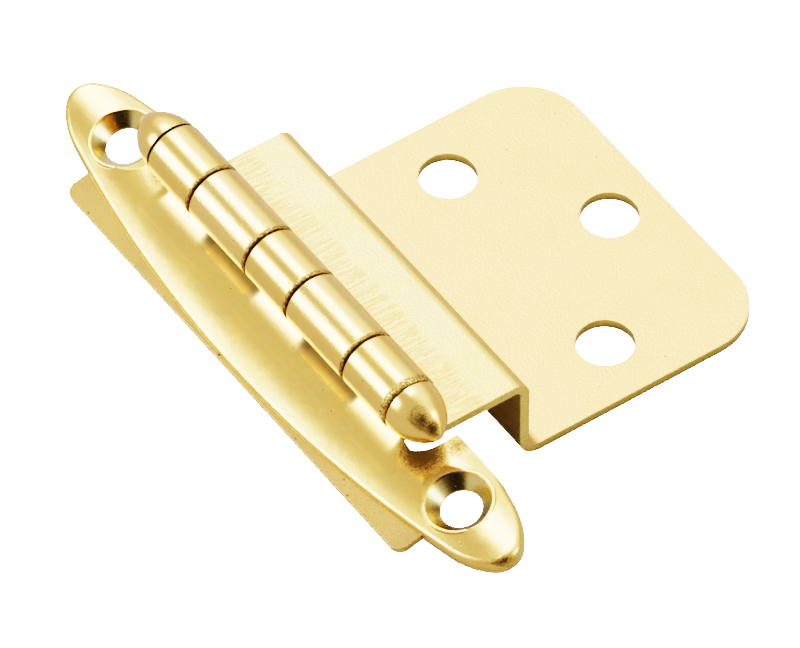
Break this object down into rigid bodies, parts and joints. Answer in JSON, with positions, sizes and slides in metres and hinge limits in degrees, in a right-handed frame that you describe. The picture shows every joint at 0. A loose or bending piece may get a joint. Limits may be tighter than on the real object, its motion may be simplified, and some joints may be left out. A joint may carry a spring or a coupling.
{
  "type": "cabinet hinge",
  "caption": "Face-mounted cabinet hinge for a lipped door: stepped door plate, rolled knuckles on a pin with bullet finials, and a boat-shaped leaf over a flat spring plate.",
  "frame": {"origin": "middle of the line through the door plate's paired screw holes, on the plate's upper face, which seats against the back of the door", "axes": "+X from the pin towards the door plate's free edge, +Y along the pin, +Z out of the plate's upper face, towards the front of the door"},
  "size_m": [0.0488, 0.0706, 0.0189],
  "materials": {
    "door_brass": "polished plating",
    "leaf_brass": "polished plating",
    "pin_brass": "polished plating",
    "finial_brass": "polished plating",
    "spring_brass": "mottled plating"
  },
  "bodies": {
    "door": {"door_wing": "door_brass"},
    "frame": {"frame_wing": "leaf_brass", "hinge_pin": "pin_brass", "finial_near": "finial_brass", "finial_far": "finial_brass", "spring_plate": "spring_brass"}
  },
  "joints": [
    {"name": "hinge_swing", "type": "hinge", "parent": "door", "child": "frame", "pos_m": [-0.02668, 0, 0.01498], "axis": [0, 1, 0], "range_deg": [0, 194.3], "stiffness_Nm_per_rad": 0.004, "springref_deg": -28.65}
  ]
}
